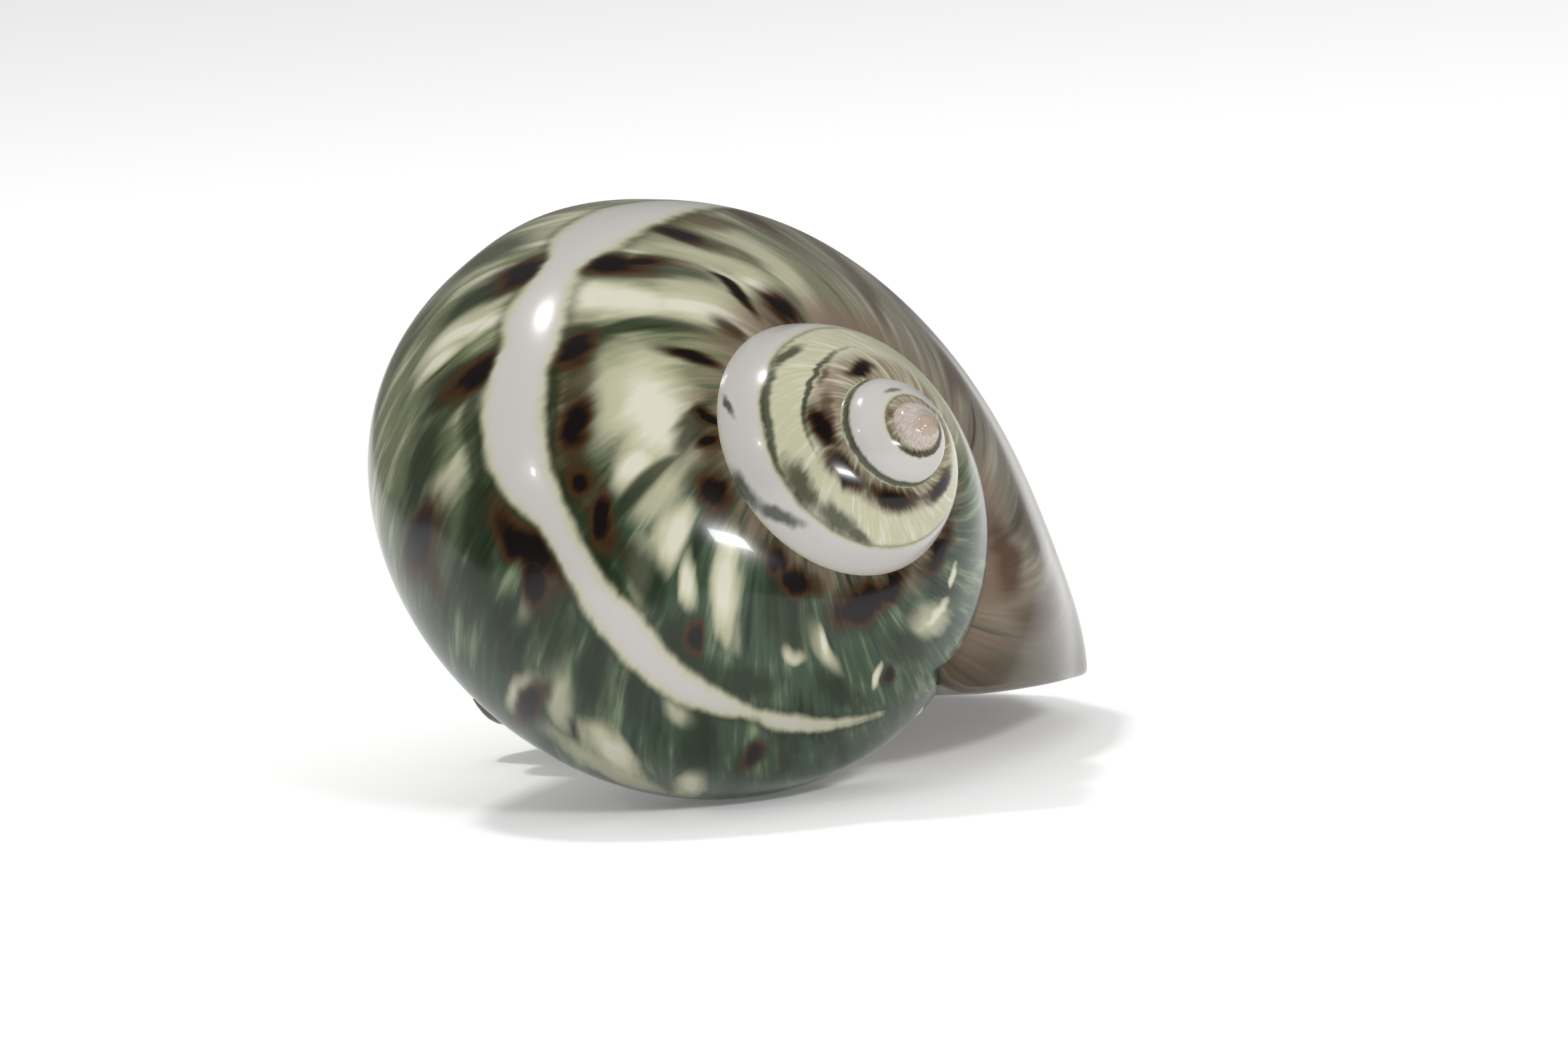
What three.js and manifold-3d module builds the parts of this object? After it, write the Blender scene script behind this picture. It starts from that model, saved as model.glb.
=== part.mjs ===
// A polished turban shell: one thick, right-handed spiral of fat round whorls with a pointed
// spire, a rounded shoulder, a faint keel at the periphery and an open round mouth.
// Millimetres, +Z up. The shell lies on its underside, as it rests on a table, with the origin
// under the middle of its bounding box.
//
// The whole shell follows one rule. A closed section is carried round the coil axis, and for
// each turn it is GROWTH times larger and as much further from the apex. A turn is counted from
// the outer lip, where it is 0, and is negative back towards the apex. The section is described
// by its reach: the distance from its middle to its outside in the direction beta, which is 0
// straight away from the coil axis and 90 degrees towards the apex.

import * as THREE from "three";
import { mergeVertices } from "three/addons/utils/BufferGeometryUtils.js";
import Module from "manifold-3d";

const wasm = await Module();
wasm.setup();

const DEG = Math.PI / 180;

// The spiral.
const GROWTH = 2.32;
const FIRST_TURN = -4.1;
const MIDDLE_OUT = 17.2; // from the coil axis to the middle of the section, at the lip
const MIDDLE_DOWN = 41.4; // from the apex down to the middle of the section, at the lip
const NUB_TURNS = 0.25; // the first, rounded bit of the spiral
const NUB_START = 0.05; // how far into its rounding a closed end starts

// The section, at the lip.
const HALF_WIDTH = 19.1;
const HALF_HEIGHT = 23.0;
const LEAN = 16.4; // degrees that the section's long side leans
const TRIANGLE_SHARE = 0.048; // how far the section leaves an ellipse
const SQUARE_SHARE = 0.035;
// Next to the coil axis, where nothing shows, the section is fuller, so that whorls fuse there.
const FILL = { share: 0.32, at: 145, spread: 28 };

// Ridges and the hollow between them, which swell over the last part turn: height, place in
// degrees and half width in degrees.
const CORDS = [
  { name: "shoulder", height: 0.26, at: 44, spread: 9.5 },
  { name: "hollow", height: -0.16, at: 21, spread: 8.7 },
  { name: "periphery", height: 0.22, at: 1, spread: 8.8 },
];
const CORD_SWELL = 1.15;
const CORD_SWELL_TURNS = 0.14;

// The lip flares in two steps: slowly over the last part turn, and at once close to the edge.
const FLARE = 0.056;
const FLARE_TURNS = 0.154;
const EDGE_FLARE = 0.045;
const EDGE_FLARE_FROM = 0.02;
const EDGE_FLARE_TURNS = 0.035;

// The plane that the outer lip lies in: its normal, along and across the coil axis, and its
// distance from the apex.
const LIP_NORMAL = new THREE.Vector3(-0.214, 0.934, 0.285).normalize();
const LIP_DISTANCE = -19.76;
const INNER_LIP = { middle: 0.09, swing: 0.06, at: 100 }; // turns, and a place in degrees
const LIP_SOFTNESS = 0.012;
const LIP_SEARCH = { from: -0.1, to: 0.22, steps: 30 };

// The wall and the hollow.
const WALL = 2.2;
const EDGE_WALL = 0.9;
const EDGE_TURNS = 0.03; // over this much of a turn the wall thins to the lip's edge
const INNER_WALL = 0.4; // the hollow keeps this far from the outside of the whorl before it
const ROOM_STEP = 0.25;
const HOLLOW_FROM = -1.15;
const HOLLOW_NUB_TURNS = 0.12;
const BEYOND_LIP = 0.04; // the cutting body of the hollow runs past the lip

// The columella, the solid pillar on the coil axis, and the core that closes the axis itself.
const COLUMELLA_RADIUS = 3.2;
const CORE_RADIUS = 2.7; // at the level of the section's middle
const CORE_TOP = 1.0;
const CORE_END = 54.0;
const CORE_SIDES = 16;
const CORE_FOOT = [0.8, 0.7]; // the foot's rounding, as shares of the core's radius
const AXIS_GAP = 0.2; // the whorls stop this far from the axis, inside the core

// The worn tip.
const TIP_RADIUS = 0.95;
const TIP_DOWN = 1.5;

// The resting place: straight up, and towards whoever looks at the front, both in the coil's
// own frame, whose +Z is the coil axis and whose +X is where the outer lip stands.
const UP = new THREE.Vector3(-0.274, 0.886, 0.374).normalize();
const LOOKED_AT_FROM = new THREE.Vector3(-0.568, -0.355, 0.743);

// Facets.
const ROWS = 44;
const RINGS_PER_TURN = 36;
const HOLLOW_ROWS = 24;
const HOLLOW_RINGS_PER_TURN = 24;

// Where one stretch of whorl ends and the next begins.
const JOINS = [FIRST_TURN, -3.3, -2.45, -1.6, -0.75];

const scaleAt = (turn) => GROWTH ** turn;

// A smooth hump of height 1 round the section, given its place and its half width in degrees.
function hump(beta, { at, spread }) {
  const from = beta - at * DEG;
  const away = Math.atan2(Math.sin(from), Math.cos(from)) / (spread * DEG);
  return Math.exp(-(away ** 2));
}

// How far the section reaches in the direction beta at a turn, before the scale is applied.
function reach(beta, turn) {
  const lean = beta - LEAN * DEG;
  const ellipse =
    (HALF_WIDTH * HALF_HEIGHT) /
    Math.hypot(HALF_HEIGHT * Math.cos(lean), HALF_WIDTH * Math.sin(lean));
  const corners = TRIANGLE_SHARE * Math.sin(3 * beta) - SQUARE_SHARE * Math.sin(4 * beta);
  const shaped = ellipse * (1 - corners + FILL.share * hump(beta, FILL));
  const swell = 1 + CORD_SWELL * Math.exp(turn / CORD_SWELL_TURNS);
  const cords = CORDS.reduce((sum, cord) => sum + cord.height * hump(beta, cord), 0);
  const before = Math.min(0, (turn - EDGE_FLARE_FROM) / EDGE_FLARE_TURNS);
  const flare =
    1 + FLARE * Math.exp(turn / FLARE_TURNS) + EDGE_FLARE * Math.exp(-(before ** 2));
  return (shaped + swell * cords) * flare;
}

// A point of the coil's own frame: the apex at the origin and the coil axis along +Z.
function onCoil(turn, out, down) {
  const scale = scaleAt(turn);
  const angle = 2 * Math.PI * turn;
  return new THREE.Vector3(
    scale * out * Math.cos(angle),
    -scale * out * Math.sin(angle),
    -scale * down,
  );
}

function sectionPoint(turn, beta, length, nearest = AXIS_GAP) {
  const out = Math.max(MIDDLE_OUT + length * Math.cos(beta), nearest);
  return onCoil(turn, out, MIDDLE_DOWN - length * Math.sin(beta));
}

// How far the direction beta runs from the section's middle before it meets the whorl before.
function roomBefore(beta, turn, most) {
  const inside = (length) => {
    const out = MIDDLE_OUT + length * Math.cos(beta) - MIDDLE_OUT / GROWTH;
    const up = MIDDLE_DOWN / GROWTH - MIDDLE_DOWN + length * Math.sin(beta);
    return Math.hypot(out, up) * GROWTH < reach(Math.atan2(up, out), turn - 1);
  };
  let length = 0;
  while (length < most && !inside(length + INNER_WALL)) length += ROOM_STEP;
  return Math.min(length, most);
}

// The turn at which the shell ends in the direction beta: where it meets the lip's plane, and
// no further round than the inner lip, which stands furthest round next to the whorl before.
function lipTurn(beta, share) {
  const beyond = (turn) =>
    sectionPoint(turn, beta, share * reach(beta, turn)).dot(LIP_NORMAL) < LIP_DISTANCE;
  let { from: low, to: high } = LIP_SEARCH;
  for (let i = 0; i < LIP_SEARCH.steps; i++) {
    const middle = (low + high) / 2;
    if (beyond(middle)) high = middle;
    else low = middle;
  }
  const inner = INNER_LIP.middle + INNER_LIP.swing * Math.cos(beta - INNER_LIP.at * DEG);
  const soft = Math.exp(-low / LIP_SOFTNESS) + Math.exp(-inner / LIP_SOFTNESS);
  return -LIP_SOFTNESS * Math.log(soft);
}

function solidFrom(geometry) {
  geometry.deleteAttribute("normal");
  geometry.deleteAttribute("uv");
  const merged = mergeVertices(geometry);
  return {
    positions: merged.attributes.position,
    triangles: new Uint32Array(merged.index.array),
  };
}

function manifoldOf({ positions, triangles }) {
  const mesh = new wasm.Mesh({
    numProp: 3,
    vertProperties: new Float32Array(positions.array),
    triVerts: triangles,
  });
  const made = new wasm.Manifold(mesh);
  if (made.volume() > 0) return made;
  for (let i = 0; i < triangles.length; i += 3)
    [triangles[i + 1], triangles[i + 2]] = [triangles[i + 2], triangles[i + 1]];
  return manifoldOf({ positions, triangles });
}

// A stretch of whorl: a closed unit cylinder whose rings become sections along the spiral.
// endOf(beta, share) gives the turn where it ends and lengthAt(beta, turn) the section's reach.
function bentCylinder({ rows, ringsPerTurn, from, endOf, lengthAt, nearest }) {
  const rings = Math.ceil(ringsPerTurn * (endOf(Math.PI, 1) - from));
  const solid = solidFrom(new THREE.CylinderGeometry(1, 1, 1, rows, rings));
  const { positions } = solid;
  for (let i = 0; i < positions.count; i++) {
    const [x, y, z] = [positions.getX(i), positions.getY(i), positions.getZ(i)];
    const share = Math.hypot(x, z) < 0.5 ? 0 : 1;
    const beta = share ? Math.atan2(z, x) : 0;
    const along = y + 0.5;
    const turn = from * (1 - along) + endOf(beta, share) * along;
    const point = sectionPoint(turn, beta, share * lengthAt(beta, turn), nearest);
    positions.setXYZ(i, ...point);
  }
  return manifoldOf(solid);
}

// The radius of a closed, rounded end, as a share, at a share of its length.
const rounded = (share) => Math.sqrt(Math.max(0, 1 - (1 - Math.min(1, share)) ** 2));

function whorl(from, to) {
  return bentCylinder({
    rows: ROWS,
    ringsPerTurn: RINGS_PER_TURN,
    from,
    endOf: (beta, share) => to ?? lipTurn(beta, share),
    lengthAt: (beta, turn) =>
      reach(beta, turn) * rounded(NUB_START + (turn - FIRST_TURN) / NUB_TURNS),
  });
}

function hollow() {
  return bentCylinder({
    rows: HOLLOW_ROWS,
    ringsPerTurn: HOLLOW_RINGS_PER_TURN,
    from: HOLLOW_FROM,
    endOf: (beta, share) => lipTurn(beta, share) + BEYOND_LIP,
    lengthAt: (beta, turn) => {
      const toEdge = Math.min(0, turn - lipTurn(beta, 1));
      const wall = WALL - (WALL - EDGE_WALL) * Math.exp(toEdge / EDGE_TURNS);
      const most = roomBefore(beta, turn, reach(beta, turn) - wall);
      return most * rounded(NUB_START + (turn - HOLLOW_FROM) / HOLLOW_NUB_TURNS);
    },
    nearest: COLUMELLA_RADIUS,
  });
}

// The solid pillar on the coil axis: a cone that widens with the shell, with a rounded foot.
function core() {
  const outline = [new THREE.Vector2(0, -CORE_TOP)];
  for (const down of [CORE_TOP, CORE_END / 4, CORE_END / 2, CORE_END])
    outline.push(new THREE.Vector2((CORE_RADIUS * down) / MIDDLE_DOWN, -down));
  const [out, down] = CORE_FOOT;
  outline.push(new THREE.Vector2(CORE_RADIUS * out, -CORE_END - CORE_RADIUS * down));
  outline.push(new THREE.Vector2(0, -CORE_END - CORE_RADIUS));
  const geometry = new THREE.LatheGeometry(outline.reverse(), CORE_SIDES);
  geometry.rotateX(Math.PI / 2);
  return manifoldOf(solidFrom(geometry));
}

// The apex, worn to a small round knob.
function tip() {
  const geometry = new THREE.SphereGeometry(TIP_RADIUS, CORE_SIDES, CORE_SIDES);
  geometry.rotateX(Math.PI / 2);
  geometry.translate(0, 0, -TIP_DOWN);
  return manifoldOf(solidFrom(geometry));
}

function shellGeometry() {
  let outside = core().add(tip());
  JOINS.forEach((from, i) => {
    outside = outside.add(whorl(from, JOINS[i + 1]));
  });
  // Joins can leave crumbs of a few facets, so the largest body is the shell.
  const bodies = outside.subtract(hollow()).decompose();
  const shell = bodies.sort((a, b) => b.volume() - a.volume())[0];
  const mesh = shell.getMesh();
  const geometry = new THREE.BufferGeometry();
  geometry.setAttribute("position", new THREE.BufferAttribute(mesh.vertProperties, 3));
  geometry.setIndex(new THREE.BufferAttribute(mesh.triVerts, 1));
  return geometry;
}

// How the shell lies: on its mouth and the belly of the last whorl, in the coil's own frame.
function lieDown(object) {
  const front = LOOKED_AT_FROM.clone().projectOnPlane(UP).normalize();
  const back = front.negate();
  const right = new THREE.Vector3().crossVectors(back, UP);
  const turned = new THREE.Matrix4().makeBasis(right, back, UP).transpose();
  object.quaternion.setFromRotationMatrix(turned);
  const box = new THREE.Box3().setFromObject(object, true);
  const middle = box.getCenter(new THREE.Vector3());
  object.position.set(-middle.x, -middle.y, -box.min.z);
}

const glaze = new THREE.MeshStandardMaterial({
  color: 0x5f7360,
  roughness: 0.18,
  metalness: 0,
});

const turbanShell = new THREE.Group();
const shell = new THREE.Mesh(shellGeometry(), glaze);
shell.name = "shell";
lieDown(shell);
turbanShell.add(shell);

export default turbanShell;
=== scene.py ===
"""A polished turban shell that lies on its mouth.

Geometry Nodes grow it by one spiral rule, and shader nodes glaze it.
"""

import math

import bmesh
import bpy
import numpy as np
from mathutils import Matrix, Vector


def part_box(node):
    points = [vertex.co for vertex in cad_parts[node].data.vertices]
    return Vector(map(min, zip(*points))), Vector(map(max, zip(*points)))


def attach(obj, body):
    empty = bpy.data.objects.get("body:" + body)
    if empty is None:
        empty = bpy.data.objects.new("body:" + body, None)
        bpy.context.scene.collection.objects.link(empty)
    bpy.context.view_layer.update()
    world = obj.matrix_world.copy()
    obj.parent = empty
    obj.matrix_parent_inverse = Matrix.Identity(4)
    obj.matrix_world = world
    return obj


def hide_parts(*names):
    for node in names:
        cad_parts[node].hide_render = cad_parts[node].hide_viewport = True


bl_info = {
    "name": "Turban Shell",
    "version": (1, 0, 0),
    "blender": (4, 5, 0),
    "location": "3D View > Sidebar > Shell",
    "description": "Grows a polished turban shell along a spiral and colours it",
    "category": "Add Mesh",
}

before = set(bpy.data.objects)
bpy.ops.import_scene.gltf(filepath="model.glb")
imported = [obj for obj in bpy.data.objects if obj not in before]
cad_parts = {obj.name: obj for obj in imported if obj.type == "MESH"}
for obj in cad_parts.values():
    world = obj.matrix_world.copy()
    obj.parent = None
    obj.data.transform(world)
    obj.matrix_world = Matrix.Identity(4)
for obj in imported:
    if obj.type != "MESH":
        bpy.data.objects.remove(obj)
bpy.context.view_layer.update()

MM = 0.001
DEG = math.pi / 180

# The coil. A turn is counted from the outer lip, where it is 0, and is negative towards the
# apex. Beta is the direction within a section, 0 away from the coil axis and 90 degrees
# towards the apex.
FIRST_TURN = -4.1
JOINS = (FIRST_TURN, -3.3, -2.45, -1.6, -0.75)

# The rounded end of the coil at the apex, and how full it already is where it starts.
NUB_TURNS = 0.25
NUB_START = 0.05

# What the section has besides the sizes left to the user: one fuller side, whose height is
# a share of the section, and low cords along the whorl. Places and half widths are in degrees.
FULLER_SIDE = {"height": 0.32, "at": 145, "spread": 28}
CORDS = (
    {"height": 0.26 * MM, "at": 44, "spread": 9.5},
    {"height": -0.16 * MM, "at": 21, "spread": 8.7},
    {"height": 0.22 * MM, "at": 1, "spread": 8.8},
)

# The cords swell and the whorl widens towards the lip, over so many turns.
CORD_SWELL = 1.15
CORD_SWELL_TURNS = 0.14
FLARE_TURNS = 0.154
EDGE_FLARE = 0.045
EDGE_FLARE_FROM = 0.02
EDGE_FLARE_TURNS = 0.035

# The plane that ends the outer lip, the wave of the inner lip, how softly one gives way to
# the other, and the turns between which the lip is looked for.
LIP_NORMAL = Vector((-0.214, 0.934, 0.285)).normalized()
LIP_DISTANCE = -19.76 * MM
INNER_LIP = {"middle": 0.09, "swing": 0.06, "at": 100}
LIP_SOFTNESS = 0.012
LIP_SEARCH = (-0.1, 0.22)
SEARCH_STEPS = 18

# The hollow: its wall at the lip's edge and against the whorl before, and its rounded end.
EDGE_WALL = 0.9 * MM
EDGE_TURNS = 0.03
INNER_WALL = 0.4 * MM
HOLLOW_FROM = -1.15
HOLLOW_NUB_TURNS = 0.12
BEYOND_LIP = 0.04

# The lip's outer edge is rounded, and the rings crowd towards it.
LIP_ROUND = 0.5 * MM
LIP_ROUND_TURNS = 0.0035
LIP_CROWDING = 1.5

# What stands on the coil axis: the columella that the hollow leaves, the cone inside it,
# which widens away from the apex, its rounded foot and the worn tip.
COLUMELLA_RADIUS = 3.2 * MM
CORE_RADIUS = 2.7 * MM
CORE_MEASURED_AT = 41.4 * MM
CORE_TOP = 1.0 * MM
CORE_END = 51.4 * MM
FOOT_SHARE = 0.99
AXIS_GAP = 0.2 * MM
TIP_RADIUS = 0.95 * MM
TIP_DOWN = 1.5 * MM

# Facets round and along the cone, its foot and the tip, and the angle of a sharp edge.
CORE_FACETS = (48, 24)
TIP_FACETS = (40, 24)
SHARP_FROM = 38 * DEG

# How the shell lies, in the coil's own frame.
UP = Vector((-0.274, 0.886, 0.374)).normalized()
LOOKED_AT_FROM = Vector((-0.568, -0.355, 0.743))

# The camera, in the coil's own frame: the way it looks, what is up in its picture, and its
# place from the apex along its right, its up and back along its view.
CAMERA_BACK = Vector((-0.5679, -0.3548, 0.7427)).normalized()
CAMERA_UP = Vector((-0.1336, 0.9301, 0.3422))
CAMERA_PLACE = (-10.635 * MM, -7.196 * MM, 589.8 * MM)
CAMERA_LENS = 192.2
CAMERA_SENSOR = 36.0
CAMERA_REACH = 20

# The markings. They were picked out one by one, measured on the coil, rounded and then
# adjusted. Each is a long spot from one (turn, beta) to another, with half its width in
# degrees.
DARK_SPOTS = (
    ((-0.443, 14), (-0.429, 30), 5.6),
    ((-0.377, 22), (-0.363, 32), 5.0),
    ((-0.428, 53), (-0.412, 59), 3.6),
    ((-0.484, 54), (-0.460, 57), 5.0),
    ((-0.512, 51), (-0.505, 53), 3.5),
    ((-0.549, 51), (-0.525, 56), 4.2),
    ((-0.402, 80), (-0.393, 89), 3.0),
    ((-0.450, 90), (-0.456, 92), 3.0),
    ((-0.487, 89), (-0.480, 90), 3.0),
    ((-0.551, 87), (-0.528, 87), 5.0),
    ((-0.645, 86), (-0.617, 88), 3.8),
    ((-0.672, 84), (-0.650, 85), 4.2),
    ((-0.770, 87), (-0.720, 82), 7.0),
    ((-0.796, 91), (-0.760, 87), 4.4),
    ((-0.903, 90), (-0.845, 88), 3.6),
    ((-0.636, 50), (-0.624, 56), 3.2),
    ((-0.790, 53), (-0.788, 56), 2.6),
    ((-0.552, 29), (-0.522, 24), 7.0),
    ((-0.562, 20), (-0.548, 24), 5.0),
    ((-0.516, -22), (-0.505, -8), 6.5),
    ((-0.612, -30), (-0.604, -6), 3.4),
    ((-0.717, 12), (-0.711, 24), 3.0),
    ((-0.354, 49), (-0.346, 58), 5.6),
    ((-0.346, 57), (-0.331, 62), 3.4),
    ((-0.304, 53), (-0.292, 62), 4.6),
    ((-0.309, 77), (-0.305, 85), 2.4),
    ((-0.282, 88), (-0.262, 91), 4.0),
    ((-1.510, 84), (-1.455, 79), 6.5),
    ((-1.620, 84), (-1.545, 83), 6.5),
    ((-1.760, 84), (-1.670, 85), 7.0),
    ((-1.920, 79), (-1.840, 81), 6.5),
    ((-1.310, 86), (-1.260, 87), 3.4),
)
# Brown and thinner than the dark spots.
BROWN_TINTS = (
    ((-0.480, 54), (-0.415, 56), 5.5),
    ((-0.550, 53), (-0.480, 53), 5.0),
    ((-0.512, 90), (-0.455, 91), 3.4),
    ((-0.560, 83), (-0.552, 86), 4.5),
    ((-0.690, 87), (-0.668, 86), 4.0),
    ((-0.534, -18), (-0.516, -14), 5.0),
    ((-0.280, 52), (-0.258, 56), 5.0),
    ((-0.352, 90), (-0.340, 92), 3.0),
    ((-0.330, 60), (-0.312, 72), 3.2),
    ((-0.290, 66), (-0.262, 78), 3.5),
    ((-0.250, 40), (-0.225, 60), 6.0),
    ((-0.190, 55), (-0.170, 78), 5.0),
    ((-0.120, 60), (-0.100, 80), 5.0),
    ((-0.030, 60), (-0.010, 76), 6.0),
    ((0.030, 74), (0.055, 84), 5.0),
    ((0.000, 90), (0.040, 91), 4.0),
    ((0.045, 40), (0.060, 70), 5.0),
    ((-1.385, 77), (-1.345, 76), 2.2),
    ((-2.320, 69), (-2.270, 70), 5.0),
    ((-2.440, 88), (-2.400, 89), 4.0),
    ((-1.470, 86), (-1.400, 84), 4.0),
    ((-1.850, 84), (-1.600, 86), 3.0),
)
# Soft cream areas, wider and fainter than the pale patches.
BUFF_PATCHES = (
    ((-0.345, 62), (-0.318, 86), 7.0),
    ((-0.312, 58), (-0.275, 82), 8.0),
    ((-0.268, 62), (-0.240, 84), 6.0),
    ((-0.470, 64), (-0.430, 66), 8.0),
    ((-0.540, 68), (-0.520, 76), 5.0),
    ((-0.590, 48), (-0.560, 60), 3.0),
    ((-0.735, 62), (-0.700, 72), 2.6),
    ((-0.420, 0), (-0.385, 26), 4.0),
    ((-0.365, 2), (-0.330, 22), 5.0),
    ((-0.500, -6), (-0.490, 8), 4.0),
    ((-0.568, 12), (-0.556, 24), 3.0),
    ((-0.625, -12), (-0.605, 4), 4.0),
    ((-0.700, -28), (-0.640, -22), 6.0),
    ((-0.665, 24), (-0.650, 30), 3.0),
    ((-0.850, 66), (-0.820, 74), 5.0),
)
GREEN_PATCHES = (
    ((-0.412, 58), (-0.366, 86), 2.4),
    ((-0.440, 91), (-0.499, 81), 2.6),
    ((-0.499, 81), (-0.540, 58), 2.6),
    ((-0.446, 5), (-0.434, 24), 7.0),
    ((-0.500, 17), (-0.450, 20), 4.0),
    ((-0.486, -9), (-0.464, 4), 7.0),
    ((-0.530, 8), (-0.500, 17), 6.0),
    ((-0.550, -8), (-0.535, 6), 7.0),
    ((-0.567, -4), (-0.557, 8), 5.0),
    ((-0.587, -8), (-0.572, 8), 6.0),
    ((-0.590, 14), (-0.565, 26), 6.0),
    ((-0.620, 10), (-0.600, 28), 6.0),
    ((-0.395, 6), (-0.372, 26), 5.0),
    ((-0.360, 0), (-0.345, 14), 6.0),
    ((-0.412, 49), (-0.408, 62), 3.0),
    ((-0.500, 47), (-0.430, 49), 2.0),
    ((-0.580, 46), (-0.500, 48), 2.6),
    ((-0.600, 52), (-0.560, 56), 5.0),
    ((-0.650, 45), (-0.610, 52), 4.0),
    ((-0.690, 52), (-0.660, 46), 6.0),
    ((-0.760, 48), (-0.735, 56), 5.0),
    ((-0.640, 16), (-0.630, 26), 5.0),
    ((-0.690, 6), (-0.675, 24), 5.0),
    ((-0.740, 14), (-0.725, 30), 5.0),
    ((-0.690, 70), (-0.645, 81), 6.0),
    ((-0.580, 74), (-0.560, 84), 4.0),
    ((-0.820, 60), (-0.790, 70), 6.0),
    ((-0.360, 45), (-0.348, 52), 4.0),
    ((-0.344, 62), (-0.318, 74), 3.4),
    ((-0.345, 88), (-0.338, 92), 3.0),
    ((-1.530, 7), (-1.560, 9), 6.0),
    ((-1.575, 13), (-1.605, 26), 6.0),
    ((-1.540, 45), (-1.380, 45), 3.6),
    ((-1.595, 50), (-1.545, 52), 8.0),
    ((-1.665, 50), (-1.620, 54), 8.0),
    ((-1.700, 46), (-1.670, 50), 5.0),
    ((-1.380, 47), (-1.340, 52), 4.0),
    ((-1.449, 18), (-1.434, 13), 2.6),
    ((-1.500, 72), (-1.300, 72), 1.6),
    ((-3.000, 14), (-2.250, 17), 7.0),
    ((-3.000, 86), (-2.550, 85), 5.0),
)
PALE_PATCHES = (
    ((-0.388, 46), (-0.366, 73), 8.0),
    ((-0.370, 70), (-0.325, 92), 6.4),
    ((-0.490, 77), (-0.432, 76), 9.5),
    ((-0.512, 66), (-0.495, 73), 4.6),
    ((-0.570, 65), (-0.550, 74), 4.6),
    ((-0.640, 63), (-0.594, 80), 3.4),
    ((-0.605, 63), (-0.583, 70), 2.2),
    ((-0.722, 66), (-0.706, 73), 1.6),
    ((-0.702, 63), (-0.692, 65), 1.8),
    ((-0.778, 55), (-0.777, 59), 1.8),
    ((-0.855, 70), (-0.830, 71), 1.8),
    ((-0.885, 78), (-0.875, 76), 1.8),
    ((-0.602, -22), (-0.598, -6), 3.0),
    ((-0.665, -16), (-0.645, -6), 5.5),
    ((-0.712, -22), (-0.700, -6), 3.6),
    ((-0.380, 8), (-0.368, 22), 2.0),
    ((-0.420, 0), (-0.401, 24), 2.6),
    ((-0.411, 18), (-0.401, 29), 2.6),
    ((-0.428, 0), (-0.418, 12), 2.0),
    ((-0.350, 14), (-0.340, 30), 2.0),
    ((-0.330, 66), (-0.300, 80), 3.4),
    ((-0.290, 80), (-0.270, 87), 2.4),
)

# The white band on the shoulder, placed like the markings: at a turn, from one beta to
# another.
BAND = (
    (-0.80, 37, 36),
    (-0.76, 35, 38),
    (-0.72, 33, 40),
    (-0.695, 36, 38.5),
    (-0.67, 31, 40.5),
    (-0.645, 29, 41),
    (-0.60, 31, 45),
    (-0.565, 34, 44),
    (-0.53, 34.5, 44),
    (-0.507, 27, 44),
    (-0.49, 24, 44),
    (-0.465, 24, 45),
    (-0.44, 27, 46),
    (-0.42, 31, 49),
    (-0.40, 29, 48),
    (-0.376, 33, 46),
    (-0.36, 33, 46),
    (-0.337, 27, 49),
    (-0.30, 27, 49),
    (-0.26, 33, 44),
    (-0.22, 37, 36),
)
# Outside any band, as far as the glaze can tell.
NO_BAND = -10

# The bands of the whorls before, from one beta to another, and the turns over which each
# gives way to the next.
EARLIER_BAND = (5, 41)
OLDEST_BAND = (21, 80)
EARLIER_TO_LAST = (-1.12, -0.95)
OLDEST_TO_EARLIER = (-2.15, -1.95)

# The zones of colour: each is the product of its slopes, and a slope goes from the turn
# where it is 0 to the turn where it is 1.
ZONES = {
    "cool": ((-0.42, -0.58), (-1.12, -0.98)),
    "late": ((-0.34, -0.12),),
    "old": ((-0.98, -1.12),),
    "worn": ((-2.9, -3.4),),
}
# Rust lies along the suture, from one slope of beta to the other. On the earlier whorls it
# reaches further from it.
RUST_STARTS = (80, 92)
RUST_ENDS = (100, 130)
RUST_WIDER = 10
RUST_WIDER_TURNS = (-1.0, -1.2)

# The streaks lean with beta, in turns to a degree, and bend on the side of the apex.
STREAK_LEAN = 0.001
STREAK_LEAN_FROM = 40
STREAK_BEND = 2e-5
STREAK_BEND_FROM = 50

# Noise that follows the growth: grains to a turn and round the section, detail, and a place
# of its own, so that no two are alike.
GRAINS = {
    "drift": (34, 9, 2.0, 21.0),
    "broad": (26, 7, 2.0, 1.0),
    "streak": (90, 11, 3.0, 5.0),
    "fine": (300, 16, 2.0, 3.0),
    "wobble": (120, 30, 3.0, 7.0),
    "sheen": (5, 3, 2.0, 11.0),
}

# The marks lie on a map that is as long as it is wide: so many of its units are one turn,
# and one is a degree round the section. Noise moves their places on it.
MAP_PER_TURN = 600
MARK_DRIFT = (11.0, 11.0, 0.0)

FINISH = {
    "Roughness": 0.2,
    "Specular IOR Level": 0.3,
    "Coat Weight": 0.15,
    "Coat Roughness": 0.05,
}

# The floor: half its side and what it looks like. It glows a little, to come out white.
FLOOR_HALF = 3.0
FLOOR_FINISH = {
    "Base Color": (0.93, 0.93, 0.93, 1),
    "Roughness": 0.8,
    "Emission Color": (1, 1, 1, 1),
    "Emission Strength": 0.12,
}

# Soft lights: name, the way to them from a little above the floor, how far they are, width
# and height, and power.
LIGHTS = (
    ("overhead", (-0.28, 0.22, 0.93), 1.0, (0.09, 0.12), 3.4),
    ("front", (0.41, -0.81, 0.42), 1.0, (0.26, 0.09), 4.6),
    ("side", (-0.65, -0.50, 0.57), 1.2, (0.05, 0.05), 0.6),
)
LIGHTS_FROM = Vector((0, 0, 0.02))
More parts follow.
